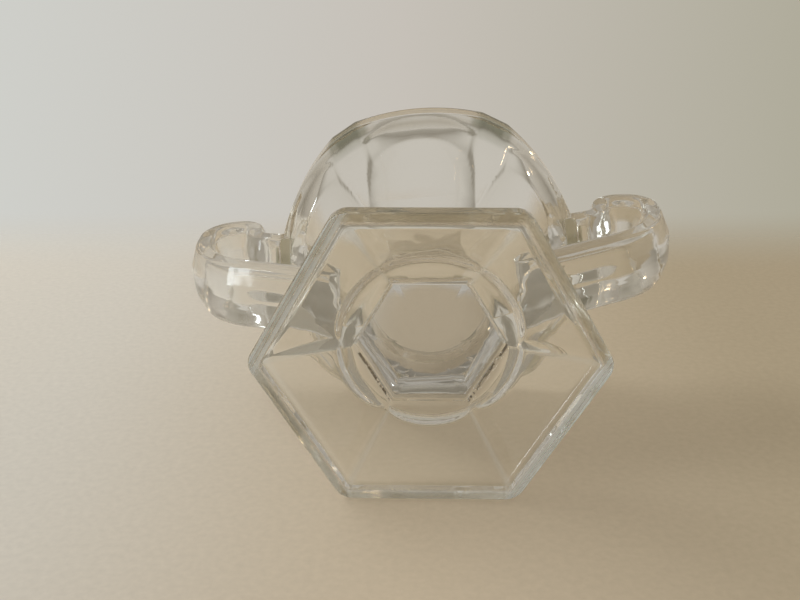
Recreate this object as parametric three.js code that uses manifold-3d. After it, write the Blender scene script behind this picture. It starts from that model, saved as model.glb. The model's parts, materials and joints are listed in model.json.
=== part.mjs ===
// Two-handled open salt cellar of clear pressed glass, standing on a six-sided foot.
// Units are millimetres. The origin is the centre of the foot's base, +Z runs up to the rim,
// and X runs through the two handles. The glass is divided along its own form lines into the
// foot, stem, bowl, rim and two handles.

import * as THREE from 'three';
import { mergeVertices } from 'three/addons/utils/BufferGeometryUtils.js';
import Module from 'manifold-3d';

const wasm = await Module();
wasm.setup();

// Counts
const sides = 6;
const arcStepsPerSide = 12;
const roundSteps = 5;
const curveSteps = 8;
const handleSteps = 90;

// Clearances
const seatGap = 0.3;
const overrun = 1;
const mergeTolerance = 0.0001;

// Foot, with radii from the centre to a corner of the hexagon
const footRadius = 25;
const footDraft = 0.3;
const footCornerRound = 3;
const footWallHeight = 3.1;
const footShoulderWidth = 0.8;
const footShoulderRise = 0.6;
const footHeight = 11;
const footTwist = THREE.MathUtils.degToRad(4.6);

// Underside of the foot: ground rim, bevel, sloping hollow and stepped recess
const groundRimWidth = 1.85;
const rimBevelWidth = 0.95;
const rimBevelDepth = 1.5;
const hollowDepth = 5.7;
const recessRadius = 10.9;
const recessDraft = 0.15;
const recessLedgeDepth = 0.9;
const recessLedgeWidth = 0.45;
const recessDepth = 1.9;

// Stem, with radii from the centre to a corner
const stemHeight = 5.5;
const stemFootRadius = 11.4;
const stemWaistRadius = 9.5;
const stemWaistHeight = 3.2;
const stemTopRadius = 10.2;

// Bowl, with heights above its seat on the stem
const bowlHeight = 23.5;
const bowlRadius = 25.5;
const spandrelTipHeight = 8.5;
const spandrelTipShare = 0.686;
const archSpringHeight = 15.5;
const archSpringShare = 0.867;
const archTopHeight = 20.9;
const bellyPower = 3;
const sideMiddleShare = 0.953;

// Rim band
const rimHeight = 4.5;
const rimRound = 0.85;

// Cavity
const rimWall = 1.9;
const lipRound = 0.8;
const mouthStep = 1.1;
const panelWall = 2.55;
const cavityFloor = 3;
const cavityRound = 9;

// Handle bar section and its route in the X and Z plane
const barWidth = 11;
const barEdge = 2.6;
const barChamferRise = 1.3;
const barFlat = 4.2;
const handleStandOff = 14.7;
const handleTop = 49.8;
const armRise = THREE.MathUtils.degToRad(24);
const armRootRadius = 11.5;
const outerBend = 12.3;
const uprightRun = 2.6;
const upperBend = 4.4;
const curlBend = 3;
const curlTurn = THREE.MathUtils.degToRad(78);
const curlStandOff = 7.3;
const curlDrop = 2.2;
const returnBend = 3.5;
const returnTurn = THREE.MathUtils.degToRad(62);
const returnRun = 6;

const sideAngle = (2 * Math.PI) / sides;
const halfSide = sideAngle / 2;
const apothemShare = Math.cos(halfSide);
const bowlSeat = footHeight + stemHeight;
const barThickness = barEdge + 2 * barChamferRise;
const handleReach = bowlRadius + handleStandOff;
const curlReach = bowlRadius + curlStandOff;
const spandrelTipRadius = bowlRadius * spandrelTipShare;
const archSpringRadius = bowlRadius * archSpringShare;
const mouthRadius = bowlRadius * sideMiddleShare - rimWall;
const cavityTopRadius = mouthRadius - mouthStep;
const cavityNeckRadius = spandrelTipRadius * apothemShare - panelWall;

// Materials

const glassColour = 0xd9d8cc;

function glass(name) {
  const material = new THREE.MeshStandardMaterial({
    color: glassColour,
    roughness: 0.04,
    metalness: 0,
    transparent: true,
    opacity: 0.45,
  });
  material.name = name;
  return material;
}

// Turning a three.js geometry into a solid and back

function toSolid(geometry) {
  const bare = geometry.clone();
  bare.deleteAttribute('normal');
  bare.deleteAttribute('uv');
  const merged = mergeVertices(bare, mergeTolerance);
  const corners = merged.index.array;
  const kept = [];
  for (let i = 0; i < corners.length; i += 3) {
    const [a, b, c] = [corners[i], corners[i + 1], corners[i + 2]];
    if (a !== b && b !== c && c !== a) kept.push(a, b, c);
  }
  return new wasm.Manifold(new wasm.Mesh({
    numProp: 3,
    vertProperties: Float32Array.from(merged.attributes.position.array),
    triVerts: Uint32Array.from(kept),
  }));
}

function toGeometry(solid) {
  const mesh = solid.getMesh();
  const geometry = new THREE.BufferGeometry();
  geometry.setAttribute('position', new THREE.BufferAttribute(mesh.vertProperties, 3));
  geometry.setIndex(new THREE.BufferAttribute(mesh.triVerts, 1));
  return geometry;
}

// Solids turned about Z, with a corner of the hexagon on +X

function turned(profile, segments) {
  const points = profile.map(([radius, height]) => new THREE.Vector2(radius, height));
  return new THREE.LatheGeometry(points, segments, halfSide).rotateX(Math.PI / 2);
}

function hexagonal(profile) {
  return toSolid(turned(profile, sides));
}

function round(profile) {
  return toSolid(turned(profile, sides * arcStepsPerSide));
}

// A solid whose radius follows a six-sided outline, given as a share of the corner radius
// for each angle from the middle of a side
function outlined(profile, shareAt) {
  const geometry = turned(profile, sides * arcStepsPerSide);
  const position = geometry.attributes.position;
  for (let i = 0; i < position.count; i += 1) {
    const angle = Math.atan2(position.getY(i), position.getX(i));
    const nearestMiddle = (Math.round(angle / sideAngle - 0.5) + 0.5) * sideAngle;
    const share = shareAt(Math.abs(angle - nearestMiddle));
    position.setXY(i, position.getX(i) * share, position.getY(i) * share);
  }
  return toSolid(geometry);
}

// Six flat sides with rounded corners
function roundedCornerShare(roundShare) {
  const centreShare = (apothemShare - roundShare) / apothemShare;
  const arcStart = Math.atan2(centreShare * Math.sin(halfSide), apothemShare);
  return (angle) => {
    if (angle < arcStart) return apothemShare / Math.cos(angle);
    const fromCorner = halfSide - angle;
    const across = centreShare * Math.sin(fromCorner);
    return centreShare * Math.cos(fromCorner) + Math.sqrt(roundShare ** 2 - across ** 2);
  };
}

// Six bowed sides that meet in a low corner
function bowedSideShare(middleShare) {
  const rise = middleShare - apothemShare;
  const halfChord = Math.sin(halfSide);
  const bow = (halfChord ** 2 + rise ** 2) / (2 * rise);
  const centre = middleShare - bow;
  return (angle) => centre * Math.cos(angle)
    + Math.sqrt(bow ** 2 - (centre * Math.sin(angle)) ** 2);
}

// Heights from one level up to the next, without the first
function levels(from, to) {
  return Array.from({ length: curveSteps }, (_, i) => from + ((to - from) * (i + 1)) / curveSteps);
}

// Foot

function footHollow() {
  const recessTop = hollowDepth + recessDepth;
  const ledge = hollowDepth + recessLedgeDepth;
  const bevelRadius = footRadius - groundRimWidth - rimBevelWidth;
  const ledgeRadius = recessRadius - recessDraft;
  const innerRadius = ledgeRadius - recessLedgeWidth;
  return hexagonal([
    [0, -overrun],
    [footRadius - groundRimWidth + rimBevelWidth * (overrun / rimBevelDepth), -overrun],
    [bevelRadius, rimBevelDepth],
    [recessRadius, hollowDepth],
    [ledgeRadius, ledge],
    [innerRadius, ledge],
    [innerRadius - recessDraft, recessTop],
    [0, recessTop],
  ]);
}

function makeFoot() {
  const wallTop = footRadius - footDraft;
  const body = outlined([
    [0, 0],
    [footRadius, 0],
    [wallTop, footWallHeight],
    [wallTop - footShoulderWidth, footWallHeight + footShoulderRise],
    [stemFootRadius, footHeight],
    [0, footHeight],
  ], roundedCornerShare(footCornerRound / footRadius));
  return body.subtract(footHollow());
}

// Stem: it turns with the foot at the bottom and with the bowl at the top

function makeStem() {
  const waist = new THREE.SplineCurve([
    new THREE.Vector2(stemFootRadius, 0),
    new THREE.Vector2(stemWaistRadius, stemWaistHeight),
    new THREE.Vector2(stemTopRadius, stemHeight),
  ]);
  const side = waist.getPoints(curveSteps).map((point) => [point.x, point.y]);
  const geometry = turned([[0, 0], ...side, [0, stemHeight]], sides);
  const position = geometry.attributes.position;
  const corner = new THREE.Vector3();
  const up = new THREE.Vector3(0, 0, 1);
  for (let i = 0; i < position.count; i += 1) {
    corner.fromBufferAttribute(position, i);
    corner.applyAxisAngle(up, footTwist * (1 - corner.z / stemHeight));
    position.setXYZ(i, corner.x, corner.y, corner.z);
  }
  return toSolid(geometry);
}

// Bowl and rim, in heights above the bowl's seat; grow makes the cutter for the handles

const bowedOutline = bowedSideShare(sideMiddleShare);
const bodySlope = (bowlRadius - spandrelTipRadius) / (bowlHeight - spandrelTipHeight);

function bodyRadiusAt(height) {
  return bowlRadius - (bowlHeight - height) * bodySlope;
}

// Corner radius of the six flat panels. They leave the stem in a belly, run straight from the
// tips of the spandrels to the spring of the arches, and turn out to the body at the arch tops.
const panelSlope = (archSpringRadius - spandrelTipRadius) / (archSpringHeight - spandrelTipHeight);
const archTopRadius = (bodyRadiusAt(archTopHeight) * sideMiddleShare) / apothemShare;
const archRun = archTopHeight - archSpringHeight;
const archTurn = (archTopRadius - archSpringRadius - panelSlope * archRun) / archRun ** 2;
const bellyHook = spandrelTipRadius - panelSlope * spandrelTipHeight - stemTopRadius;

function panelRadiusAt(height) {
  const below = spandrelTipHeight - height;
  const above = Math.max(height - archSpringHeight, 0);
  const belly = below > 0 ? bellyHook * (below / spandrelTipHeight) ** bellyPower : 0;
  return spandrelTipRadius - panelSlope * below - belly + archTurn * above ** 2;
}

function panelProfile(grow) {
  const heights = [
    0,
    ...levels(0, spandrelTipHeight),
    ...levels(spandrelTipHeight, archSpringHeight),
    ...levels(archSpringHeight, archTopHeight),
    ...levels(archTopHeight, bowlHeight),
  ];
  const side = heights.map((height) => [panelRadiusAt(height) + grow, height]);
  return [[0, 0], ...side, [0, bowlHeight]];
}

function makeBowlBody(grow) {
  const body = outlined([
    [0, 0],
    [bodyRadiusAt(0) + grow, 0],
    [bowlRadius + grow, bowlHeight],
    [0, bowlHeight],
  ], bowedOutline);
  return body.intersect(hexagonal(panelProfile(grow)));
}

function makeRimBody(grow) {
  const outer = bowlRadius + grow;
  const top = bowlHeight + rimHeight;
  const profile = [[0, bowlHeight], [outer, bowlHeight]];
  for (let i = 0; i <= roundSteps; i += 1) {
    const angle = (i / roundSteps) * (Math.PI / 2);
    profile.push([
      outer - rimRound * (1 - Math.cos(angle)),
      top - rimRound * (1 - Math.sin(angle)),
    ]);
  }
  profile.push([0, top]);
  return outlined(profile, bowedOutline);
}

// Smooth round cavity: a flat floor, a curve up to the leaning wall, and the rounded mouth
function makeCavity() {
  const top = bowlHeight + rimHeight;
  const wallRise = bowlHeight - spandrelTipHeight;
  const wallLean = Math.atan2(cavityTopRadius - cavityNeckRadius, wallRise);
  const centreHeight = cavityFloor + cavityRound;
  const centreRadius = cavityNeckRadius
    + (centreHeight - spandrelTipHeight) * Math.tan(wallLean)
    - cavityRound / Math.cos(wallLean);
  const profile = [[0, cavityFloor]];
  for (let i = 0; i <= curveSteps; i += 1) {
    const angle = (i / curveSteps) * (Math.PI / 2 - wallLean);
    profile.push([
      centreRadius + cavityRound * Math.sin(angle),
      centreHeight - cavityRound * Math.cos(angle),
    ]);
  }
  profile.push([cavityTopRadius, bowlHeight]);
  for (let i = 0; i <= roundSteps; i += 1) {
    const angle = (i / roundSteps) * (Math.PI / 2);
    profile.push([
      mouthRadius + lipRound * (1 - Math.cos(angle)),
      top - lipRound * (1 - Math.sin(angle)),
    ]);
  }
  profile.push([mouthRadius + lipRound, top + overrun]);
  profile.push([0, top + overrun]);
  return round(profile);
}

// Handle: an eight-sided bar that leaves the bowl low down, bends up and over, and curls
// back to the bowl just under the rim

class BarRoute extends THREE.Curve {
  constructor(path) {
    super();
    this.path = path;
  }

  getPoint(t, target = new THREE.Vector3()) {
    const point = this.path.getPoint(t);
    return target.set(point.x, 0, point.y);
  }
}

function barSection() {
  const halfEdge = barEdge / 2;
  const halfThickness = barThickness / 2;
  const halfWidth = barWidth / 2;
  const halfFlat = barFlat / 2;
  const outline = [
    [halfWidth, halfEdge],
    [halfFlat, halfThickness],
    [-halfFlat, halfThickness],
    [-halfWidth, halfEdge],
    [-halfWidth, -halfEdge],
    [-halfFlat, -halfThickness],
    [halfFlat, -halfThickness],
    [halfWidth, -halfEdge],
  ];
  return new THREE.Shape(outline.map(([x, y]) => new THREE.Vector2(x, y)));
}

function barRoute() {
  const outermost = handleReach - barThickness / 2;
  const highest = handleTop - bowlSeat - barThickness / 2;
  const bendTop = highest - upperBend;
  const outerCentre = [outermost - outerBend, bendTop - uprightRun];
  const armEnd = [
    outerCentre[0] + outerBend * Math.sin(armRise),
    outerCentre[1] - outerBend * Math.cos(armRise),
  ];
  const armRun = armEnd[0] - armRootRadius;
  const curlEnd = Math.PI / 2 + curlTurn;
  const curlCentre = [curlReach, highest - curlBend];
  const down = [-Math.cos(curlTurn), -Math.sin(curlTurn)];
  const dropStart = [
    curlCentre[0] + curlBend * Math.cos(curlEnd),
    curlCentre[1] + curlBend * Math.sin(curlEnd),
  ];
  const returnCentre = [
    dropStart[0] + down[0] * curlDrop + down[1] * returnBend,
    dropStart[1] + down[1] * curlDrop - down[0] * returnBend,
  ];
  const returnStart = curlTurn - Math.PI / 2;
  const returnEnd = returnStart - returnTurn;
  const path = new THREE.Path();
  path.moveTo(armEnd[0] - armRun, armEnd[1] - armRun * Math.tan(armRise));
  path.lineTo(armEnd[0], armEnd[1]);
  path.absarc(outerCentre[0], outerCentre[1], outerBend, armRise - Math.PI / 2, 0, false);
  path.lineTo(outermost, bendTop);
  path.absarc(outermost - upperBend, bendTop, upperBend, 0, Math.PI / 2, false);
  path.lineTo(curlReach, highest);
  path.absarc(curlCentre[0], curlCentre[1], curlBend, Math.PI / 2, curlEnd, false);
  path.lineTo(dropStart[0] + down[0] * curlDrop, dropStart[1] + down[1] * curlDrop);
  path.absarc(returnCentre[0], returnCentre[1], returnBend, returnStart, returnEnd, true);
  const end = path.currentPoint;
  const heading = returnEnd - Math.PI / 2;
  path.lineTo(end.x + returnRun * Math.cos(heading), end.y + returnRun * Math.sin(heading));
  return new BarRoute(path);
}

function makeHandle() {
  const bar = toSolid(new THREE.ExtrudeGeometry(barSection(), {
    steps: handleSteps,
    extrudePath: barRoute(),
  }));
  return bar.subtract(makeBowlBody(seatGap)).subtract(makeRimBody(seatGap));
}

// Assembly

const cellar = new THREE.Group();

function addPiece(name, solid, height, turn) {
  const piece = new THREE.Mesh(toGeometry(solid), glass(name));
  piece.name = name;
  piece.position.z = height;
  piece.rotation.z = turn;
  cellar.add(piece);
}

const cavity = makeCavity();
const handle = makeHandle();

addPiece('foot', makeFoot(), 0, footTwist);
addPiece('stem', makeStem(), footHeight, 0);
addPiece('bowl', makeBowlBody(0).subtract(cavity), bowlSeat, 0);
addPiece('rim', makeRimBody(0).subtract(cavity), bowlSeat, 0);
addPiece('handle_right', handle, bowlSeat, 0);
addPiece('handle_left', handle, bowlSeat, Math.PI);

export default cellar;
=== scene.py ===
"""Clear pressed-glass open salt cellar with two scroll handles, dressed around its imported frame.

The salt is one pressing, so all of its glass is one welded mesh that stands for every node of the
frame. Everything is in metres in the frame's axes: the origin is the centre of the foot's base, +Z
runs up to the rim and X runs through the two handles. The photograph shows the salt lying on its
+Y side with the underside of its foot towards the camera.
"""

import json
import logging
import math
from collections.abc import Callable, Sequence
from dataclasses import dataclass
from enum import Enum
from functools import cached_property

import bpy
from mathutils import Matrix, Vector

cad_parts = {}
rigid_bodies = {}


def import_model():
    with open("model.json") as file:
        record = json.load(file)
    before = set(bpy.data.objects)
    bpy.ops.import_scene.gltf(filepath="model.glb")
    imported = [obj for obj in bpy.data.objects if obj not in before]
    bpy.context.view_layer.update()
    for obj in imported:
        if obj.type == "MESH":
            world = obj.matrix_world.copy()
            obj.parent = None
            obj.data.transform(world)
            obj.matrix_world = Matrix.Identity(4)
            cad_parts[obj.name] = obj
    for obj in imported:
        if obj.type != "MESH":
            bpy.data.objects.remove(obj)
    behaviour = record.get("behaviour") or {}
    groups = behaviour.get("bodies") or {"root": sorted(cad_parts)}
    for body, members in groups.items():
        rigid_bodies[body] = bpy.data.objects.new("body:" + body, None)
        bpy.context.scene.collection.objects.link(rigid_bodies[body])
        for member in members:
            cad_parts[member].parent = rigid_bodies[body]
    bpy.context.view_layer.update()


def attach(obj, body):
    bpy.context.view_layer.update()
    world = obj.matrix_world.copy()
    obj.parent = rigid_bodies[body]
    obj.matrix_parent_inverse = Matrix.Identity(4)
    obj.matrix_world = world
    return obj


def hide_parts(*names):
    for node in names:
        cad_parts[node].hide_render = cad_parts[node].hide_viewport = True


LOG = logging.getLogger("salt_cellar")
MM = 0.001
HALF_SIDE = math.pi / 6
FOOT_TWIST = math.radians(4.6)
LONGEST_WEAR = 0.45  # largest share of a run that a worn corner takes up
WHOLE_TURN = 6.2831  # rounded down, so that an angle just short of it counts as none
UNIT = (0.0, 1.0)

Colour = tuple[float, float, float]
Span = tuple[float, float]
Tones = Sequence[tuple[float, Colour]]
Outline = Callable[[float], float]
Socket = bpy.types.NodeSocket
Value = Socket | float
Ends = tuple[Value, Value]
Inputs = dict[int | str, Value | Sequence[float]]


class Fade(Enum):
    """How a sheet of ground gives way to its surroundings."""

    AWAY = "away from the camera"
    ROUND = "all round"


class Showing(Enum):
    """How a lamp shows in the glass."""

    NOT = "not at all"
    MIRRORED = "mirrored on its outside"
    THROUGH = "mirrored and seen through it"


@dataclass(frozen=True)
class Ring:
    """One level ring of the turned glass.

    Args:
        height: height above the foot's base, in millimetres.
        radius: distance from the axis to a corner of the outline, in millimetres.
        outline: share of the radius at an angle from the middle of a side, in radians.
        turn: how far the ring is turned about the axis, in radians.
    """

    height: float
    radius: float
    outline: Outline
    turn: float = 0.0

    def point(self, angle: float) -> Vector:
        """Return the place of the ring's point at an angle about the axis, in metres."""
        middle = (math.floor(angle / (math.pi / 3)) + 0.5) * math.pi / 3
        reach = self.radius * self.outline(angle - middle)
        at = angle + self.turn
        return Vector((reach * math.cos(at), reach * math.sin(at), self.height)) * MM


def smooth_least(a: float, b: float, blend: float) -> float:
    """Return the lesser of two lengths, where one gives way to the other over a blend."""
    mix = max(blend - abs(a - b), 0.0) / blend
    return min(a, b) - mix * mix * blend * 0.25


def round_outline(_: float) -> float:
    """Return the share of the radius for a circle, which is the same at every angle."""
    return 1.0


@dataclass(frozen=True)
class HexagonOutline:
    """Six flat sides whose corners are rounded.

    Args:
        corner: radius of the rounded corner as a share of the corner radius.
    """

    corner: float

    def __call__(self, angle: float) -> float:
        """Return the share of the corner radius at an angle from the middle of a side."""
        apothem = math.cos(HALF_SIDE)
        centre = (apothem - self.corner) / apothem
        start = math.atan2(centre * math.sin(HALF_SIDE), apothem)
        if abs(angle) < start:
            return apothem / math.cos(angle)
        from_corner = HALF_SIDE - abs(angle)
        across = centre * math.sin(from_corner)
        return centre * math.cos(from_corner) + math.sqrt(self.corner**2 - across**2)


@dataclass(frozen=True)
class BowedOutline:
    """Six bowed sides that meet in narrow flat ribs.

    Args:
        middle: share of the corner radius at the middle of a side.
        rib: distance of a rib's flat face from the axis, as a share of the corner radius.
    """

    middle: float
    rib: float

    def __call__(self, angle: float) -> float:
        """Return the share of the corner radius at an angle from the middle of a side."""
        rise = self.middle - math.cos(HALF_SIDE)
        bow = (math.sin(HALF_SIDE) ** 2 + rise**2) / (2 * rise)
        centre = self.middle - bow
        share = centre * math.cos(angle) + math.sqrt(bow**2 - (centre * math.sin(angle)) ** 2)
        return min(share, self.rib / math.cos(HALF_SIDE - abs(angle)))


@dataclass(frozen=True)
class Network:
    """Lays out and joins the nodes of one material, or of the surroundings."""

    tree: bpy.types.NodeTree

    @cached_property
    def place(self) -> Socket:
        """Return the place that is being coloured, in metres in the object's own axes."""
        return self.add("TexCoord", {}).outputs["Object"]

    @cached_property
    def axes(self) -> bpy.types.NodeOutputs:
        """Return the X, Y and Z of that place."""
        return self.add("SeparateXYZ", {0: self.place}).outputs

    @cached_property
    def radius(self) -> Socket:
        """Return the distance of that place from the Z axis."""
        level = self.add("CombineXYZ", {"X": self.axes["X"], "Y": self.axes["Y"]})
        return self.vector("LENGTH", {0: level.outputs[0]}).outputs["Value"]

    def feed(self, node: bpy.types.Node, inputs: Inputs) -> None:
        """Join or set the inputs of a node.

        Args:
            node: node whose inputs are fed.
            inputs: an output to join or a value to set, for each input by its name or number.
        """
        for key, value in inputs.items():
            if isinstance(value, Socket):
                self.tree.links.new(value, node.inputs[key])
            else:
                node.inputs[key].default_value = value

    def add(self, kind: str, inputs: Inputs, **settings: str | bool) -> bpy.types.Node:
        """Add a node.

        Args:
            kind: its kind, without the words that all kinds begin with.
            inputs: what to feed it.
            **settings: its own settings, by their names.

        Returns:
            The new node.
        """
        node = self.tree.nodes.new(f"ShaderNode{kind}")
        for name, setting in settings.items():
            setattr(node, name, setting)
        self.feed(node, inputs)
        return node

    def math(self, operation: str, *values: Value, clamped: bool = False) -> Socket:
        """Return the result of one step of arithmetic, kept from 0 to 1 if it is clamped."""
        inputs = dict(enumerate(values))
        return self.add("Math", inputs, operation=operation, use_clamp=clamped).outputs[0]

    def vector(self, operation: str, inputs: Inputs) -> bpy.types.Node:
        """Return a node that does one step of arithmetic with vectors."""
        return self.add("VectorMath", inputs, operation=operation)

    def product(self, first: Socket, *others: Socket) -> Socket:
        """Return the product of several values."""
        for other in others:
            first = self.math("MULTIPLY", first, other)
        return first

    def ramp(
        self, value: Socket, limits: Span = UNIT, ends: Ends = UNIT, smooth: bool = False
    ) -> Socket:
        """Run from one end to the other while a value runs between two limits.

        Args:
            value: value to follow.
            limits: the value's limits, past which the result stays as it is.
            ends: what the result is at each limit.
            smooth: whether it leaves and reaches its ends softly.

        Returns:
            The result.
        """
        names = ("Value", "From Min", "From Max", "To Min", "To Max")
        inputs = dict(zip(names, (value, *limits, *ends), strict=True))
        blend = "SMOOTHSTEP" if smooth else "LINEAR"
        return self.add("MapRange", inputs, interpolation_type=blend).outputs[0]

    def noise(self, at: Socket, scale: float, detail: float) -> Socket:
        """Make even, cloudy noise.

        Args:
            at: place to find it at, or distance along a line.
            scale: how many clouds there are to a metre.
            detail: how many finer layers it has.

        Returns:
            The noise, about 0.5.
        """
        key, kind = ("W", "1D") if at.type == "VALUE" else ("Vector", "3D")
        inputs = {key: at, "Scale": scale, "Detail": detail}
        return self.add("TexNoise", inputs, noise_dimensions=kind).outputs["Fac"]

    def tinted(self, under: Socket | Sequence[float], over: Colour, share: Socket) -> Socket:
        """Return a colour that gives way to another one by a share from 0 to 1."""
        inputs = {"Factor": share, "A": under, "B": (*over, 1)}
        return self.add("Mix", inputs, data_type="RGBA").outputs["Result"]

    def tones(self, value: Socket, tones: Tones, blend: str = "LINEAR") -> Socket:
        """Colour by a row of tones.

        Args:
            value: place along the row, from 0 to 1.
            tones: places along the row, each with its colour.
            blend: how one tone gives way to the next.

        Returns:
            The colour.
        """
        node = self.add("ValToRGB", {0: value})
        node.color_ramp.interpolation = blend
        elements = node.color_ramp.elements
        for _ in tones[2:]:
            elements.new(0.5)
        for element, (at, colour) in zip(elements, tones, strict=True):
            element.position = at
            element.color = (*colour, 1)
        return node.outputs[0]

    def shown(self, share: Socket, under: Socket, over: Socket) -> Socket:
        """Return a shader that gives way to another one by a share from 0 to 1."""
        return self.add("MixShader", {0: share, 1: under, 2: over}).outputs[0]

    def passing(self, tint: Colour) -> Socket:
        """Return a shader that lets light pass straight on, with a tint."""
        return self.add("BsdfTransparent", {"Color": (*tint, 1)}).outputs[0]


@dataclass(frozen=True)
class GlassMarks:
    """Where the glass is worn or dirty, and where shade and a highlight are painted on it, in
    metres and radians in the frame's axes.

    A span gives the two values between which one look gives way to the next. A band gives its
    middle and how far it reaches to either side. The hollow's facets have their slope, and a
    band of heights where they would meet the axis.
    """

    ground_span: Span = (0.00006, 0.00014)
    # the two sides of the rim along this way are frosted whitest as a painted highlight
    glint_way: float = math.radians(34)
    glint_side_span: Span = (0.0192, 0.0204)
    handle_span: Span = (0.0256, 0.0275)
    crease_span: Span = (0.040, 0.002)
    crease_wear: float = 0.22
    hollow_slope: float = 0.372
    hollow_band: Span = (0.009755, 0.0007)
    hollow_inner: float = 0.0110
    recess_radius: float = 0.0112
    recess_top_band: Span = (0.0074, 0.0005)
    dirt_band: Span = (0.0063, 0.0003)
    dirt_middle: float = -0.00076
    dirt_aside: float = 0.0056
    dirt_lowest: float = 0.0005
    dirt_least: float = 0.235
    wall_span: Span = (0.0037, 0.0020)
    wall_reach: float = 0.0204
    rib_angle_span: Span = (0.150, 0.095)
    rib_height_span: Span = (0.0335, 0.0395)
    rib_inner_span: Span = (0.0225, 0.0230)
    rib_outer_span: Span = (0.0257, 0.0254)


@dataclass(frozen=True)
class ClearGlass:
    """Slightly warm, old pressed glass.

    Rays that have bounced more often than the long way says are let out with the long tint.
    """

    name: str = "pressed_glass"
    tint: Colour = (0.955, 0.958, 0.94)
    roughness: float = 0.025
    handle_roughness: float = 0.07
    frosted_roughness: float = 0.6
    frosted_clearness: float = 0.35
    index: float = 1.52
    waviness: float = 0.12
    wave_depth: float = 0.0006
    scratching: float = 0.9
    scratch_depth: float = 0.00005
    long_way: int = 4
    long_tint: Colour = (0.915, 0.91, 0.89)
    shadow_tint: Colour = (0.79, 0.78, 0.76)
    # painted shade: colour that darkens the six ribs of the bowl
    rib_shade_tint: Colour = (0.33, 0.345, 0.275)
    # painted shade: colour that darkens the foot's outer wall
    wall_shade_tint: Colour = (0.60, 0.59, 0.49)
    # painted shade: colour that darkens the top of the recess
    recess_shade_tint: Colour = (0.59, 0.605, 0.62)
    dirt: Colour = (0.06, 0.045, 0.03)
    # frost colour: real frost on the ground rim plus a painted highlight on two of its sides
    frosting_and_glint: Colour = (0.86, 0.93, 0.95)

    def make(self) -> bpy.types.Material:
        """Build the node material.

        Returns:
            The finished material.
        """
        material = bpy.data.materials.new(self.name)
        material.use_nodes = True
        nodes = material.node_tree.nodes
        net = GlassNetwork(material.node_tree, self)
        # frosting of the ground rim, partly a painted highlight on two of its sides
        frost_and_glint = net.frost_and_glint()
        skin_roughness = (self.roughness, self.handle_roughness)
        polish = net.ramp(net.radius, net.marks.handle_span, skin_roughness)
        looks = {
            "IOR": self.index,
            "Roughness": net.ramp(frost_and_glint, ends=(polish, self.frosted_roughness)),
            "Transmission Weight": net.ramp(frost_and_glint, ends=(1.0, self.frosted_clearness)),
            "Base Color": net.colour(frost_and_glint),
            "Normal": net.surface(),
        }
        shader = nodes["Principled BSDF"]
        net.feed(shader, looks)
        net.feed(nodes["Material Output"], {"Surface": net.let_out(shader.outputs[0])})
        return material


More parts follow.
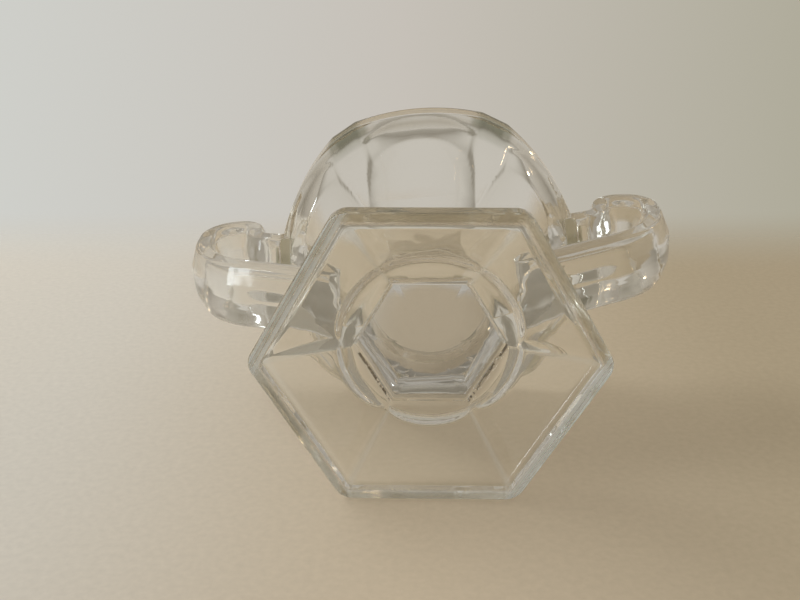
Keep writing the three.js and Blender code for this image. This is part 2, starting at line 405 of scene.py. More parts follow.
@dataclass(frozen=True)
class GlassNetwork(Network):
    """The network of the clear glass, with its wear, dirt, tints, painted shade and painted
    highlight.
    """

    glass: ClearGlass
    marks: GlassMarks = GlassMarks()

    def frost_and_glint(self) -> Socket:
        """Frost the rim that the foot stands on, whitest on two sides as a painted highlight, and
        wear the creases.

        Returns:
            How frosted the surface is, with that painted highlight, from 0 to 1.
        """
        way = (-math.cos(self.marks.glint_way), -math.sin(self.marks.glint_way), 0)
        along = self.vector("DOT_PRODUCT", {0: self.place, 1: way}).outputs["Value"]
        far = self.math("ABSOLUTE", along)
        ground = self.product(
            self.ramp(self.axes["Z"], self.marks.ground_span, (1.0, 0.0)),
            self.ramp(far, self.marks.glint_side_span, (0.03, 1.0)),
            self.ramp(self.noise(far, scale=3200, detail=3), (0.10, 0.66)),
            self.ramp(self.noise(self.place, scale=420, detail=3), (0.28, 0.58), (0.65, 1.0)),
        )
        return self.math("MAXIMUM", ground, self._creases())

    def _corner(self, turn: float) -> Socket:
        """Measure the angle from the nearest of six corners.

        Args:
            turn: angle of the first corner about the axis, in radians.

        Returns:
            The angle, in radians.
        """
        angle = self.math("ARCTAN2", self.axes["Y"], self.axes["X"])
        return self.math("PINGPONG", self.math("SUBTRACT", angle, turn), HALF_SIDE)

    def _creases(self) -> Socket:
        """Find the six worn creases between the facets of the foot's hollow.

        Returns:
            How worn the surface is, from 0 to 1.
        """
        corner = self._corner(FOOT_TWIST)
        peak = self.math("MULTIPLY_ADD", self.radius, self.marks.hollow_slope, self.axes["Z"])
        return self.product(
            self.ramp(corner, self.marks.crease_span, (0.0, self.marks.crease_wear), smooth=True),
            self.math("COMPARE", peak, *self.marks.hollow_band),
            self.math("GREATER_THAN", self.radius, self.marks.hollow_inner),
        )

    def colour(self, frost_and_glint: Socket) -> Socket:
        """Tint the glass, with old dirt in the recess's small step, painted shade, and white
        frosting that is partly a painted highlight.

        Args:
            frost_and_glint: how frosted the surface is, with the painted highlight on two sides of
                the rim, from 0 to 1.

        Returns:
            The colour.
        """
        inside = self.math("LESS_THAN", self.radius, self.marks.recess_radius)
        recess_top = self.math("COMPARE", self.axes["Z"], *self.marks.recess_top_band)
        colour = (*self.glass.tint, 1)
        for tint, share in (
            # painted shade: the ribs are darkened
            (self.glass.rib_shade_tint, self._painted_rib_shade()),
            # painted shade: the foot's wall is darkened
            (self.glass.wall_shade_tint, self._painted_wall_shade()),
            # painted shade: the recess's top is darkened
            (self.glass.recess_shade_tint, self.product(inside, recess_top)),
            (self.glass.dirt, self.product(inside, self._dirty())),
            # frost, whitest on two sides of the rim as a painted highlight
            (self.glass.frosting_and_glint, frost_and_glint),
        ):
            colour = self.tinted(colour, tint, share)
        return colour

    def _painted_rib_shade(self) -> Socket:
        """Return the share of the six ribs at the bowl's edge, which are darkened as painted
        shade, from 0 to 1.
        """
        return self.product(
            self.ramp(self._corner(0.0), self.marks.rib_angle_span, smooth=True),
            self.ramp(self.axes["Z"], self.marks.rib_height_span, smooth=True),
            self.ramp(self.radius, self.marks.rib_inner_span, smooth=True),
            self.ramp(self.radius, self.marks.rib_outer_span, smooth=True),
        )

    def _painted_wall_shade(self) -> Socket:
        """Find the foot's outer wall, which is darkened as painted shade.

        Returns:
            The share of the wall, from 0 to 1.
        """
        from_middle = self.math("SUBTRACT", HALF_SIDE, self._corner(FOOT_TWIST))
        reach = self.product(self.radius, self.math("COSINE", from_middle))
        return self.product(
            self.ramp(self.axes["Z"], self.marks.wall_span, smooth=True),
            self.math("GREATER_THAN", reach, self.marks.wall_reach),
        )

    def _dirty(self) -> Socket:
        """Find the specks of dirt at the height of the recess's small step, on two sides.

        Returns:
            Whether there is dirt, as 0 or 1.
        """
        aside = self.math("SUBTRACT", self.axes["X"], self.marks.dirt_middle)
        specks = self.noise(self.place, scale=2600, detail=2)
        patches = self.noise(self.place, scale=420, detail=2)
        return self.product(
            self.math("GREATER_THAN", self.product(specks, patches), self.marks.dirt_least),
            self.math("COMPARE", self.axes["Z"], *self.marks.dirt_band),
            self.math("GREATER_THAN", self.math("ABSOLUTE", aside), self.marks.dirt_aside),
            self.math("GREATER_THAN", self.axes["Y"], self.marks.dirt_lowest),
        )

    def surface(self) -> Socket:
        """Give the pressed skin its faint waves, and the ground rim its turned scratches.

        Returns:
            The surface's heading.
        """
        waves = {
            "Strength": self.glass.waviness,
            "Distance": self.glass.wave_depth,
            "Height": self.noise(self.place, scale=190, detail=1),
        }
        ends = (self.glass.scratching, 0.0)
        scratches = {
            "Strength": self.ramp(self.axes["Z"], self.marks.ground_span, ends),
            "Distance": self.glass.scratch_depth,
            "Height": self.noise(self.radius, scale=9000, detail=3),
            "Normal": self.add("Bump", waves).outputs[0],
        }
        return self.add("Bump", scratches).outputs[0]

    def let_out(self, glass: Socket) -> Socket:
        """Let lamp light through, so that the shadow is pale, and end long ways in the glass.

        Args:
            glass: shader of the glass.

        Returns:
            The finished shader.
        """
        path = self.add("LightPath", {}).outputs
        long_way = self.math("GREATER_THAN", path["Ray Depth"], self.glass.long_way)
        leaves = self.math("MAXIMUM", path["Is Diffuse Ray"], long_way)
        seen = self.shown(leaves, glass, self.passing(self.glass.long_tint))
        return self.shown(path["Is Shadow Ray"], seen, self.passing(self.glass.shadow_tint))


@dataclass(frozen=True)
class PaleGround:
    """Plain matt paper that is seen from its front only and fades out at its edge.

    It is clear up to one distance and faded out at the next, in metres.
    """

    name: str
    left: Colour
    colour: Colour
    right: Colour
    fade: Fade
    clear: float
    faded: float
    casts: bool

    def make(self) -> bpy.types.Material:
        """Build the node material.

        Returns:
            The finished material.
        """
        material = bpy.data.materials.new(self.name)
        material.use_nodes = True
        nodes = material.node_tree.nodes
        net = Network(material.node_tree)
        # tones from left to right across X; on the table this is painted light, lighter on the
        # left and darker to the right, while the floor's tones are even
        row = ((0.0, self.left), (0.5, self.colour), (1.0, self.right))
        tone = net.tones(net.ramp(net.axes["X"], (-0.07, 0.07)), row, "EASE")
        shade = net.ramp(net.noise(net.place, scale=900, detail=5), ends=(0.9, 1.08))
        mottled = net.vector("SCALE", {0: tone, "Scale": shade}).outputs[0]
        paper = nodes["Principled BSDF"]
        net.feed(paper, {"Roughness": 0.9, "Specular IOR Level": 0.1, "Base Color": mottled})
        away = net.radius if self.fade is Fade.ROUND else net.axes["Y"]
        fade = net.ramp(away, (self.clear, self.faded), smooth=True)
        hidden = net.math("MAXIMUM", fade, net.add("NewGeometry", {}).outputs["Backfacing"])
        if not self.casts:
            path = net.add("LightPath", {}).outputs
            for output in ("Is Shadow Ray", "Is Diffuse Ray", "Glossy Depth"):
                hidden = net.math("MAXIMUM", hidden, path[output], clamped=True)
        seen = net.shown(hidden, paper.outputs[0], net.passing((1.0, 1.0, 1.0)))
        net.feed(nodes["Material Output"], {"Surface": seen})
        return material


def only(piece: bpy.types.Object) -> None:
    """Make one object the only selected and the active one."""
    if bpy.context.object and bpy.context.object.mode != "OBJECT":
        bpy.ops.object.mode_set(mode="OBJECT")
    bpy.ops.object.select_all(action="DESELECT")
    piece.select_set(True)
    bpy.context.view_layer.objects.active = piece


def spaced(low: float, high: float, steps: int) -> list[float]:
    """Return evenly spaced values from low to high, without the first."""
    return [low + (high - low) * (i + 1) / steps for i in range(steps)]


def side_angles(columns: int, tightness: float) -> list[float]:
    """Return the angles of one side's columns, closest together at its corner.

    Args:
        columns: how many columns one side has.
        tightness: how much closer the columns stand at the corners, from 0 to 1.

    Returns:
        Angles from the corner before the side, in radians, without the next corner.
    """
    angles = []
    for i in range(columns):
        t = i / columns
        angles.append((t - tightness * math.sin(math.tau * t) / math.tau) * math.pi / 3)
    return angles


def worn_profile(
    points: Sequence[Span], rounds: Sequence[float], outline: Outline, turn: float
) -> list[Ring]:
    """Turn a profile of straight runs, with its corners worn round, into rings.

    Args:
        points: radius and height of each corner of the profile, in millimetres.
        rounds: how far along its runs each corner is worn, in millimetres.
        outline: outline of all the rings.
        turn: turn of all the rings about the axis, in radians.

    Returns:
        The rings of the profile.
    """
    rings = []
    for i, (point, size) in enumerate(zip(points, rounds, strict=True)):
        here = Vector(point)
        if size == 0 or i in (0, len(points) - 1):
            rings.append(Ring(here.y, here.x, outline, turn))
            continue
        before, after = Vector(points[i - 1]) - here, Vector(points[i + 1]) - here
        start = before.normalized() * min(size, before.length * LONGEST_WEAR)
        end = after.normalized() * min(size, after.length * LONGEST_WEAR)
        for step in range(5):
            t = step / 4
            at = here + start * (1 - t) ** 2 + end * t**2
            rings.append(Ring(at.y, at.x, outline, turn))
    return rings


def angle_about(vertex: bpy.types.MeshVertex) -> float:
    """Return a vertex's angle about the axis, where a whole turn counts as none."""
    angle = math.atan2(vertex.co.y, vertex.co.x) % math.tau
    return round(angle, 5) % WHOLE_TURN


def skin(name: str, stations: Sequence[Sequence[Vector]]) -> bpy.types.Object:
    """Extrude a disc through a row of stations and set each one to its outline.

    Args:
        name: name of the new object.
        stations: outlines in metres, all with the same number of points, in the order that the
            skin runs; each goes round anticlockwise as seen from ahead.

    Returns:
        A closed mesh object with a cap on both ends.
    """
    count = len(stations[0])
    bpy.ops.object.select_all(action="DESELECT")
    bpy.ops.mesh.primitive_circle_add(vertices=count, radius=1, fill_type="NGON")
    piece = bpy.context.object
    piece.name = name
    bpy.ops.object.mode_set(mode="EDIT")
    bpy.ops.mesh.select_all(action="SELECT")
    for _ in stations[1:]:
        bpy.ops.mesh.extrude_region_move(TRANSFORM_OT_translate={"value": (0, 0, 1)})
    bpy.ops.object.mode_set(mode="OBJECT")
    levels: dict[int, list[bpy.types.MeshVertex]] = {}
    for vertex in piece.data.vertices:
        levels.setdefault(round(vertex.co.z), []).append(vertex)
    for level, station in enumerate(stations):
        members = sorted(levels[level], key=angle_about)
        for vertex, place in zip(members, station, strict=True):
            vertex.co = place
    piece.data.update()
    return piece


@dataclass
class TurnedBody:
    """Foot, stem, bowl and rim, as one skin that runs up the outside and down the inside.

    The sizes are in millimetres. Radii run from the axis to a corner, and heights in the bowl are
    above its seat. An arch and the cove below its crown are highest at the middle of their panel,
    and come down to their feet at the foot angle from it.
    """

    columns: int = 52
    tightness: float = 0.72
    foot_twist: float = FOOT_TWIST
    foot_radius: float = 25.0
    foot_corner: float = 0.12
    foot_height: float = 11.0
    rim_width: float = 1.85
    bevel_width: float = 0.95
    bevel_depth: float = 1.5
    hollow_depth: float = 5.7
    recess_radius: float = 10.9
    recess_step: float = 0.9
    recess_top: float = 1.9
    wall_height: float = 3.1
    shoulder_width: float = 1.1
    shoulder_height: float = 3.7
    dome_radius: float = 13.9
    dome_top: float = 10.2
    dome_foot: float = 8.6
    stem_foot: float = 11.4
    stem_waist: float = 9.5
    stem_top: float = 10.2
    seat: float = 16.5
    bowl_height: float = 23.5
    rim_height: float = 4.5
    bowl_radius: float = 25.5
    sharp: float = 0.02
    tip_height: float = 8.5
    tip_radius: float = 17.49
    spring_height: float = 13.5
    spring_radius: float = 20.82
    ease: float = 0.012
    arch_height: float = 22.6
    arch_foot: float = 19.2
    crown_height: float = 20.1
    crown_foot: float = 14.1
    foot_angle: float = math.radians(25)
    middle: float = 0.953
    rib: float = 0.981
    step: float = 0.4
    sinks_in: float = 6.0
    crisp: float = 0.08
    full: float = 0.7
    lip: float = 0.85
    mouth: float = 22.4
    floor: float = 3.0
    floor_bend: float = 9.0
    neck: float = 12.6
    cavity_top: float = 21.3
    plug_gap: float = 0.2

    def body_slope(self) -> float:
        """Return how fast the bowed body widens with height."""
        return (self.bowl_radius - self.tip_radius) / (self.bowl_height - self.tip_height)

    def panel_radius(self, height: float) -> float:
        """Return the corner radius of the flat panels.

        Args:
            height: height above the bowl's seat, in millimetres.

        Returns:
            The radius, in millimetres.
        """
        slope = (self.spring_radius - self.tip_radius) / (self.spring_height - self.tip_height)
        hook = self.tip_radius - slope * self.tip_height - self.stem_top
        below = self.tip_height - height
        belly = hook * (below / self.tip_height) ** 3 if below > 0 else 0.0
        eased = self.ease * max(height - self.spring_height, 0) ** 2
        return self.tip_radius - slope * below - belly - eased

    def bowl_outline(self, height: float) -> Outline:
        """Return the outline of the bowl, with its panels let into the bowed body.

        Args:
            height: height above the bowl's seat, in millimetres.

        Returns:
            The distance from the axis, in millimetres, at an angle from the middle of a side.
        """
        body = self.bowl_radius - (self.bowl_height - height) * self.body_slope()
        panel = self.panel_radius(height)
        above = min(max((height - self.tip_height) / self.sinks_in, 0.0), 1.0)
        bowed, flat = BowedOutline(self.middle, self.rib), HexagonOutline(self.sharp)

        def reach(angle: float) -> float:
            """Return the distance from the axis at an angle from the middle of a side."""
            outer, inner = body * bowed(angle), panel * flat(angle)
            depth = max(outer - inner, 0.0)
            shows = min(depth / self.crisp, 1.0)
            sunk = 0.5 * shows + 0.5 * min(depth / self.full, 1.0)
            face = min(outer, inner) - self.step * above * sunk
            drop = (angle / self.foot_angle) ** 2
            top = self.arch_height - (self.arch_height - self.arch_foot) * drop
            crown = self.crown_height - (self.crown_height - self.crown_foot) * drop
            if height >= top:
                return outer
            cove = max((height - crown) / (top - crown), 0.0)
            edge = outer - 0.5 * self.step * above * shows
            return face + (edge - face) * cove

        return reach

    def underside(self) -> list[Ring]:
        """List the rings under the foot, from the recess out to the ground rim."""
        ledge = self.recess_radius - 0.15
        top = self.hollow_depth + self.recess_top
        step = self.hollow_depth + self.recess_step
        hollow = self.foot_radius - self.rim_width - self.bevel_width
        points = [
            (0.4, top),
            (ledge - 0.6, top),
            (ledge - 0.45, step),
            (ledge, step),
            (self.recess_radius, self.hollow_depth),
            (hollow, self.bevel_depth),
            (self.foot_radius - self.rim_width, 0),
        ]
        rounds = (0, 0.15, 0.12, 0.12, 0.25, 0.6, 0.15)
        return worn_profile(points, rounds, HexagonOutline(0.045), self.foot_twist)

    def foot_top(self) -> list[Ring]:
        """List the rings up the foot's wall and over its sloping top."""
        shoulder, level = self.foot_radius - self.shoulder_width, self.shoulder_height
        points = [
            (self.foot_radius - 0.25, 0),
            (self.foot_radius, 0.25),
            (self.foot_radius - 0.3, self.wall_height),
            (shoulder, level),
            (self.stem_foot, self.foot_height),
        ]
        flat = HexagonOutline(self.foot_corner)
        rings = worn_profile(points, (0, 0.12, 0.6, 0.6, 0), flat, self.foot_twist)[:-1]
        for height in spaced(rings[-1].height, self.foot_height, 36):
            narrowed = (self.stem_foot - shoulder) * (height - level) / (self.foot_height - level)
            slope = shoulder + narrowed
            rings.append(Ring(height, 1, self._domed(slope, height), self.foot_twist))
        return rings

    def _domed(self, slope: float, height: float) -> Outline:
        """Return the outline of the foot's sloping top, with the round dome under the stem.

        Args:
            slope: corner radius of the sloping facets at this height, in millimetres.
            height: height above the foot's base, in millimetres.

        Returns:
            The distance from the axis, in millimetres, at an angle from the middle of a side.
        """
        share = max(0.0, (height - self.dome_foot) / (self.foot_height - self.dome_foot))
        round_share = math.sqrt(1 - min(share, 1) ** 2)
        dome = self.dome_top + (self.dome_radius - self.dome_top) * round_share
        flat = HexagonOutline(self.foot_corner * (1 - 0.6 * share))
        return lambda angle: -smooth_least(-slope * flat(angle), -dome, 0.35)

    def stem(self) -> list[Ring]:
        """List the rings of the waist, which turns from the foot's line to the bowl's."""
        rings = []
        height = self.seat - self.foot_height
        first_corner = self.foot_corner * 0.4
        for t in spaced(0, 1, 14):
            straight = self.stem_foot + (self.stem_top - self.stem_foot) * t
            pinch = 4 * t * (1 - t) * ((self.stem_foot + self.stem_top) / 2 - self.stem_waist)
            outline = HexagonOutline(first_corner + (self.sharp - first_corner) * t)
            level = self.foot_height + height * t
            rings.append(Ring(level, straight - pinch, outline, self.foot_twist * (1 - t)))
        return rings

    def bowl(self) -> list[Ring]:
        """List the rings up the panelled bowl."""
        last = self.bowl_height - 0.5
        levels = spaced(0, self.tip_height, 16)
        levels += spaced(self.tip_height, last, 58) + spaced(last, self.bowl_height, 4)
        return [Ring(self.seat + level, 1, self.bowl_outline(level)) for level in levels]

    def rim(self) -> list[Ring]:
        """List the rings of the rim band, over its lip and down into the mouth."""
        low = self.seat + self.bowl_height
        top = low + self.rim_height
        outline = BowedOutline(self.middle, self.rib)
        levels = spaced(low, top - self.lip, 8)
        rings = [Ring(level, self.bowl_radius, outline) for level in levels]
        for angle in spaced(0, math.pi / 2, 7):
            radius = self.bowl_radius - self.lip * (1 - math.cos(angle))
            rings.append(Ring(top - self.lip * (1 - math.sin(angle)), radius, outline))
        for angle in (math.pi / 2 * i / 7 for i in range(7, -1, -1)):
            radius = self.mouth + self.lip * (1 - math.cos(angle))
            rings.append(Ring(top - self.lip * (1 - math.sin(angle)), radius, round_outline))
        return rings

    def cavity(self) -> list[Ring]:
        """List the rings down the smooth round cavity to the middle of its floor."""
        bend = self.seat + self.bowl_height
        lean = math.atan2(self.cavity_top - self.neck, self.bowl_height - self.tip_height)
        height = self.floor + self.floor_bend
        wall = self.neck + (height - self.tip_height) * math.tan(lean)
        centre = wall - self.floor_bend / math.cos(lean)
        foot = centre + self.floor_bend * math.cos(lean)
        foot_level = self.seat + height - self.floor_bend * math.sin(lean)
        points = [
            (self.mouth, bend + self.rim_height - self.lip),
            (self.cavity_top, bend),
            (foot, foot_level),
        ]
        rings = worn_profile(points, (0, 2.5, 0), round_outline, 0)[1:-1]
        for t in spaced(0, 1, 24):
            last = rings[-1]
            level = last.height + (foot_level - last.height) * (1 / (25 - 24 * t) if t < 1 else 1)
            narrowed = (foot - last.radius) * (last.height - level) / (last.height - foot_level)
            rings.append(Ring(level, last.radius + narrowed, round_outline))
        for angle in spaced(math.pi / 2 - lean, 0, 18):
            radius = centre + self.floor_bend * math.sin(angle)
            level = self.seat + height - self.floor_bend * math.cos(angle)
            rings.append(Ring(level, radius, round_outline))
        rings.append(Ring(self.seat + self.floor, 0.4, round_outline))
        return rings

    def plug(self) -> bpy.types.Object:
        """Make a plug a little wider than the cavity, which keeps the straps out of it.

        Returns:
            The new mesh object.
        """
        top = self.seat + self.bowl_height + self.rim_height
        rings = [Ring(level, self.mouth, round_outline) for level in (top + 1, top - self.lip)]
        rings += self.cavity()
        angles = [math.tau * i / 120 for i in range(120)]
        wider = [Ring(ring.height, ring.radius + self.plug_gap, round_outline) for ring in rings]
        return skin("plug", [[ring.point(angle) for angle in angles] for ring in wider])

    def build(self) -> bpy.types.Object:
        """Make the closed body.

        Returns:
            The new mesh object.
        """
        rings = [*self.underside(), *self.foot_top(), *self.stem()]
        rings += [*self.bowl(), *self.rim(), *self.cavity()]
        one_side = side_angles(self.columns, self.tightness)
        angles = [side * math.pi / 3 + angle for side in range(6) for angle in one_side]
        LOG.info("body: %d rings of %d points", len(rings), len(angles))
        return skin("salt_body", [[ring.point(angle) for angle in angles] for ring in rings])


@dataclass
class Pen:
    """Draws a route of straights and bends in a plane, from a place and a heading."""

    place: Vector
    heading: float

    def __post_init__(self) -> None:
        """Start the list of stations."""
        self.stations = [(self.place.copy(), self.heading)]

    def straight(self, length: float, steps: int) -> None:
        """Draw a straight run.

        Args:
            length: its length.
            steps: number of stations along it.
        """
        along = Vector((math.cos(self.heading), math.sin(self.heading)))
        for _ in range(steps):
            self.place = self.place + along * length / steps
            self.stations.append((self.place.copy(), self.heading))

    def bend(self, radius: float, turn: float, steps: int) -> None:
        """Draw a bend.

        Args:
            radius: its radius.
            turn: how far it turns, in radians, above 0 to the left.
            steps: number of stations along it.
        """
        side = math.copysign(radius, turn)
        centre = self.place + side * Vector((-math.sin(self.heading), math.cos(self.heading)))
        for _ in range(steps):
            self.heading += turn / steps
            self.place = centre - side * Vector((-math.sin(self.heading), math.cos(self.heading)))
            self.stations.append((self.place.copy(), self.heading))


@dataclass
class ScrollHandle:
    """One strap handle, which bends up and over and curls back under the rim.

    The sizes are in millimetres, in the X and Z plane of the right handle.
    """

    width: float = 11.0
    edge: float = 2.6
    chamfer: float = 1.3
    flat: float = 4.2
    wear: float = 0.55
    reach: float = 40.2
    top: float = 49.8
    arm_rise: float = math.radians(24)
    root: float = 11.5
    outer_bend: float = 12.3
    upright: float = 2.6
    upper_bend: float = 4.4
    curl_bend: float = 3.0
    curl_turn: float = math.radians(78)
    curl_reach: float = 32.8
    curl_drop: float = 2.2
    return_bend: float = 3.5
    return_turn: float = math.radians(62)
    return_run: float = 6.0

    def section(self) -> list[tuple[float, float]]:
        """List the strap's eight-sided section with its edges worn round.

        Returns:
            Points across the strap and through its thickness, in millimetres.
        """
        y, t, f = self.width / 2, self.edge / 2, self.flat / 2
        full = t + self.chamfer
        near = [Vector(corner) for corner in ((y, t), (f, full), (-f, full), (-y, t))]
        corners = near + [-corner for corner in near]
        points = []
        for i, corner in enumerate(corners):
            before = (corners[i - 1] - corner).normalized() * self.wear
            after = (corners[(i + 1) % 8] - corner).normalized() * self.wear
            for step in range(6):
                share = step / 5
                points.append(corner + before * (1 - share) ** 2 + after * share**2)
        return [(point.x, point.y) for point in points]

    def route(self) -> list[tuple[Vector, float]]:
        """List the stations along the strap's middle line.

        Returns:
            Places in the X and Z plane, in millimetres, each with the strap's heading there.
        """
        half = self.edge / 2 + self.chamfer
        out, high = self.reach - half, self.top - half
        centre = Vector((out - self.outer_bend, high - self.upper_bend - self.upright))
        along = Vector((math.cos(self.arm_rise), math.sin(self.arm_rise)))
        start = centre + self.outer_bend * Vector((along.y, -along.x))
        run = (start.x - self.root) / math.cos(self.arm_rise)
        pen = Pen(start - run * along, self.arm_rise)
        pen.straight(run, 24)
        pen.bend(self.outer_bend, math.pi / 2 - self.arm_rise, 30)
        pen.straight(self.upright, 3)
        pen.bend(self.upper_bend, math.pi / 2, 24)
        pen.straight(out - self.upper_bend - self.curl_reach, 2)
        pen.bend(self.curl_bend, self.curl_turn, 20)
        pen.straight(self.curl_drop, 3)
        pen.bend(self.return_bend, -self.return_turn, 18)
        pen.straight(self.return_run, 6)
        return pen.stations

    def build(self, name: str) -> bpy.types.Object:
        """Make the closed strap of the right handle.

        Args:
            name: name of the new object.

        Returns:
            The new mesh object.
        """
        section = self.section()
        stations = []
        for place, heading in self.route():
            normal = Vector((-math.sin(heading), math.cos(heading)))
            stations.append([
                Vector((place.x + normal.x * through, across, place.y + normal.y * through)) * MM
                for across, through in section
            ])
        return skin(name, stations)


class SaltCellar:
    """The whole pressing: body and handles joined into one skin of glass."""

    nodes = ("foot", "stem", "bowl", "rim", "handle_right", "handle_left")

    def build(self) -> bpy.types.Object:
        """Model the glass, join it, and dress it.

        Returns:
            The finished piece, riding on the frame.
        """
        turned = TurnedBody()
        body, plug = turned.build(), turned.plug()
        right = ScrollHandle().build("strap_right")
        left = ScrollHandle().build("strap_left")
        only(left)
        bpy.ops.transform.rotate(value=math.pi, orient_axis="Z", center_override=(0, 0, 0))
        bpy.ops.object.transform_apply(location=True, rotation=True, scale=True)
        for piece in (body, plug, right, left):
            self._face_outward(piece)
        for strap in (right, left):
            self._combine(strap, plug, "DIFFERENCE")
            self._combine(body, strap, "UNION")
            bpy.data.objects.remove(strap)
        bpy.data.objects.remove(plug)
        self._finish(body)
        body.name = body.data.name = "pressed_glass"
        body.data.materials.clear()
        body.data.materials.append(ClearGlass().make())
        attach(body, "root")
        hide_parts(*self.nodes)
        return body

    def _face_outward(self, piece: bpy.types.Object) -> None:
        """Turn all the faces of a closed piece outward."""
        only(piece)
        bpy.ops.object.mode_set(mode="EDIT")
        bpy.ops.mesh.select_all(action="SELECT")
        bpy.ops.mesh.normals_make_consistent(inside=False)
        bpy.ops.object.mode_set(mode="OBJECT")

    def _combine(self, piece: bpy.types.Object, other: bpy.types.Object, operation: str) -> None:
        """Add another closed piece to this one, or cut it away.

        Args:
            piece: the piece to change.
            other: the piece to add or cut with, which stays as it is.
            operation: UNION or DIFFERENCE.
        """
        only(piece)
        change = piece.modifiers.new("change", "BOOLEAN")
        change.operation = operation
        change.solver = "EXACT"
        change.object = other
        bpy.ops.object.modifier_apply(modifier=change.name)

    def _finish(self, body: bpy.types.Object) -> None:
        """Shade the skin smooth, with its flats kept flat."""
        only(body)
        bpy.ops.object.shade_smooth_by_angle(angle=math.radians(40))
        flats = body.modifiers.new("flats", "WEIGHTED_NORMAL")
        flats.keep_sharp = True
        flats.weight = 80
        bpy.ops.object.modifier_apply(modifier=flats.name)


@dataclass(frozen=True)
class PhotographView:
    """The camera's place in the photograph, fitted to the foot and the rim.

    The depth is how far the salt's origin lies in front of it, in metres, and the centre is where
    the origin shows, in pixels right of and above the picture's middle.
    """

    azimuth: float = math.radians(7.13)
    elevation: float = math.radians(-65.47)
    roll: float = math.radians(2.65)
    depth: float = 0.13374
    centre: tuple[float, float] = (30.45, -66.01)
    focal: float = 1000.0
    sensor: float = 36.0
    picture_width: float = 800.0
    nearest: float = 0.005

    def axes(self) -> tuple[Vector, Vector, Vector]:
        """Return the picture's right, up and forward directions."""
        a, e = self.azimuth, self.elevation
        forward = -Vector((math.sin(a) * math.cos(e), -math.cos(a) * math.cos(e), math.sin(e)))
        right = forward.cross(Vector((0, 0, 1))).normalized()
        up = right.cross(forward)
        c, s = math.cos(self.roll), math.sin(self.roll)
        return c * right + s * up, c * up - s * right, forward

    def place(self) -> Vector:
        """Return the camera's place, in metres."""
        right, up, forward = self.axes()
        x, y = self.centre
        return -self.depth * (x / self.focal * right + y / self.focal * up + forward)

    def build(self) -> None:
        """Make the camera and set it as the scene's."""
        right, up, forward = self.axes()
        data = bpy.data.cameras.new("camera")
        data.sensor_width = self.sensor
        data.lens = self.sensor * self.focal / self.picture_width
        data.clip_start = self.nearest
        camera = bpy.data.objects.new("camera", data)
        bpy.context.scene.collection.objects.link(camera)
        turn = Matrix((right, up, -forward)).transposed().to_4x4()
        camera.matrix_world = Matrix.Translation(self.place()) @ turn
        bpy.context.scene.camera = camera


@dataclass(frozen=True)
class SoftLamp:
    """One flat lamp that faces the salt.

    Args:
        name: name of the lamp.
        direction: direction from the salt to the lamp.
        distance: how far away it hangs, in metres.
        size: its width and height, in metres.
        level: how bright a white sheet facing it would look.
        colour: its colour.
        shows: how the glass shows it.
    """

    name: str
    direction: Vector
    distance: float
    size: tuple[float, float]
    level: float
    colour: Colour
    shows: Showing

    def hang(self, middle: Vector, upright: Vector) -> None:
        """Hang the lamp.

        Args:
            middle: place that it faces, in metres.
            upright: direction along which its height runs.
        """
        data = bpy.data.lights.new(self.name, "AREA")
        data.shape = "RECTANGLE"
        data.size, data.size_y = self.size
        data.color = self.colour
        data.energy = self.level * math.pi**2 * self.distance**2
        lamp = bpy.data.objects.new(self.name, data)
        bpy.context.scene.collection.objects.link(lamp)
        towards = self.direction.normalized()
        tall = (upright - towards * upright.dot(towards)).normalized()
        turn = Matrix((tall.cross(towards), tall, towards)).transposed().to_4x4()
        lamp.matrix_world = Matrix.Translation(middle + towards * self.distance) @ turn
        lamp.visible_camera = False
        lamp.visible_glossy = self.shows is not Showing.NOT
        lamp.visible_transmission = self.shows is Showing.THROUGH


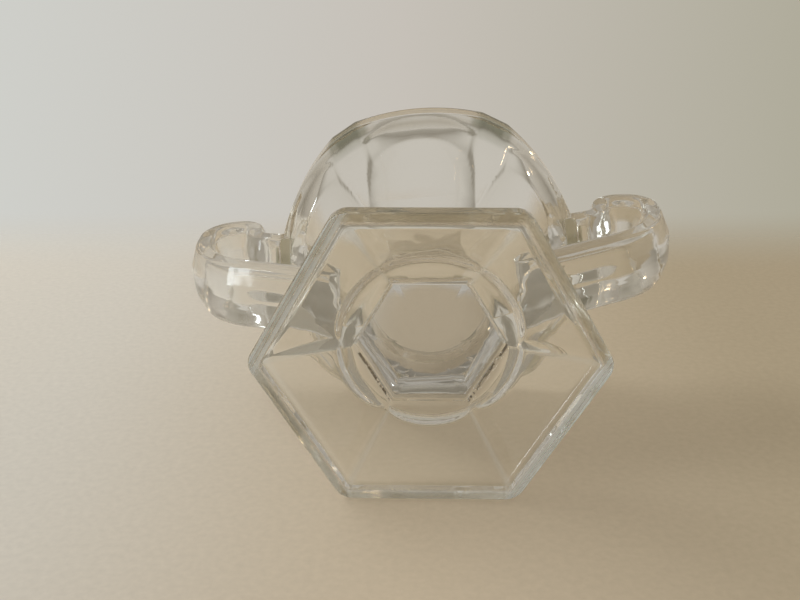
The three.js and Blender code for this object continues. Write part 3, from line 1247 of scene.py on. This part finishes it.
@dataclass
class Stage:
    """Pale ground, plain soft light and the photograph's camera.

    The wall's tones are what the camera sees past the ground, from left to right, painted lighter
    on the left and darker on the right as the light falls. The room's are what the glass mirrors
    and bends, from behind the camera to ahead of it.
    """

    view: PhotographView
    middle: Vector = Vector((0, 0, 0.022))
    table_point: Vector = Vector((-1.736, 21.58, 0.0)) * MM
    table_normal: Vector = Vector((0.0800, -0.9945, 0.0684))
    table_size: float = 1.2
    floor_size: float = 0.8
    # painted light: the table is lighter on the left and darker on the right
    table_lit_to_shaded_tones: tuple[Colour, Colour, Colour] = (
        (0.61, 0.565, 0.475),
        (0.565, 0.465, 0.325),
        (0.455, 0.37, 0.24),
    )
    floor_tone: Colour = (0.56, 0.51, 0.43)
    light_tone: Colour = (0.97, 0.97, 1.0)
    light_level: float = 0.52
    # painted light: the wall is lighter on the left and darker on the right
    wall_lit_to_shaded_tones: Tones = (
        (0.0, (0.625, 0.632, 0.60)),
        (0.5, (0.565, 0.53, 0.48)),
        (1.0, (0.42, 0.40, 0.315)),
    )
    room_tones: Tones = (
        (0.0, (0.37, 0.335, 0.285)),
        (0.12, (0.40, 0.365, 0.315)),
        (0.24, (0.48, 0.445, 0.39)),
        (0.50, (0.52, 0.485, 0.425)),
        (0.70, (0.44, 0.40, 0.335)),
        (0.86, (0.31, 0.28, 0.23)),
        (0.94, (0.24, 0.215, 0.17)),
        (0.974, (0.55, 0.515, 0.455)),
        (1.0, (0.58, 0.545, 0.49)),
    )

    def build(self) -> None:
        """Make everything around the salt."""
        self.view.build()
        self._table()
        self._floor()
        self._lamps()
        self._surroundings()

    def _ground(self, name: str, size: float, matrix: Matrix, finish: PaleGround) -> None:
        """Lay one sheet of pale ground.

        Args:
            name: name of the new object.
            size: length of its sides, in metres.
            matrix: its place.
            finish: its material.
        """
        bpy.ops.mesh.primitive_plane_add(size=size)
        sheet = bpy.context.object
        sheet.name = name
        sheet.matrix_world = matrix
        sheet.data.materials.append(finish.make())

    def _table(self) -> None:
        """Lay the table that the salt lies on in the photograph, on the +Y side of it."""
        right, _, forward = self.view.axes()
        normal = self.table_normal.normalized()
        away = (forward - normal * forward.dot(normal)).normalized()
        side = away.cross(normal)
        turn = Matrix((side, away, normal)).transposed().to_4x4()
        place = self.middle - normal * (self.middle - self.table_point).dot(normal)
        finish = PaleGround(
            "table_paper", *self.table_lit_to_shaded_tones, Fade.AWAY, clear=0.078, faded=0.135, casts=True
        )
        self._ground("table", self.table_size, Matrix.Translation(place) @ turn, finish)

    def _floor(self) -> None:
        """Lay the floor that the salt stands on when it is upright."""
        tones = [self.floor_tone] * 3
        finish = PaleGround(
            "floor_paper", *tones, Fade.ROUND, clear=0.10, faded=0.30, casts=False
        )
        self._ground("floor", self.floor_size, Matrix.Identity(4), finish)

    def _lamps(self) -> None:
        """Hang the tall window on the left, the soft light above, and the small warm lamp."""
        right, up, forward = self.view.axes()
        left = Vector((-0.866, -0.235, -0.428))
        above = 0.8 * up - 0.72 * right + 0.05 * forward
        beside = 0.75 * right + 0.62 * up + 0.15 * forward
        pale, white, warm = (0.88, 0.96, 1.0), (0.97, 0.98, 1.0), (1.0, 0.72, 0.42)
        for lamp in (
            SoftLamp("window", left, 0.5, (0.05, 0.20), 0.10, pale, Showing.MIRRORED),
            SoftLamp("soft_light", above, 0.6, (0.30, 0.30), 0.64, white, Showing.NOT),
            SoftLamp("lamp", beside, 0.6, (0.03, 0.03), 0.02, warm, Showing.THROUGH),
        ):
            lamp.hang(self.middle, self.table_normal)

    def _surroundings(self) -> None:
        """Colour the wall that the camera sees, the room in the glass, and the even light."""
        world = bpy.data.worlds.new("surroundings")
        bpy.context.scene.world = world
        world.use_nodes = True
        nodes = world.node_tree.nodes
        net = Network(world.node_tree)
        right, _, forward = self.view.axes()
        path = net.add("LightPath", {}).outputs
        look = net.add("TexCoord", {}).outputs["Generated"]
        wall, room = nodes["Background"], net.add("Background", {})
        for background, direction, span, tones in (
            # painted light: the wall runs from lit on the left to shaded on the right
            (wall, right, (-0.40, 0.40), self.wall_lit_to_shaded_tones),
            (room, forward, (-1.0, 1.0), self.room_tones),
        ):
            turned = net.vector("DOT_PRODUCT", {0: look, 1: direction}).outputs["Value"]
            net.feed(background, {"Color": net.tones(net.ramp(turned, span), tones)})
        even = {"Color": (*self.light_tone, 1), "Strength": self.light_level}
        light = net.add("Background", even)
        seen = net.shown(path["Is Diffuse Ray"], room.outputs[0], light.outputs[0])
        seen = net.shown(path["Is Camera Ray"], seen, wall.outputs[0])
        net.feed(nodes["World Output"], {"Surface": seen})


def main() -> None:
    """Build the salt cellar and its stage around the frame."""
    logging.basicConfig(level=logging.INFO, format="%(message)s")
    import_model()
    bpy.context.scene.view_settings.view_transform = "Standard"
    glass = SaltCellar().build()
    LOG.info("glass: %d faces", len(glass.data.polygons))
    Stage(PhotographView()).build()
    LOG.info("stage: camera, ground, lamps and surroundings")


if __name__ == "__main__":
    main()
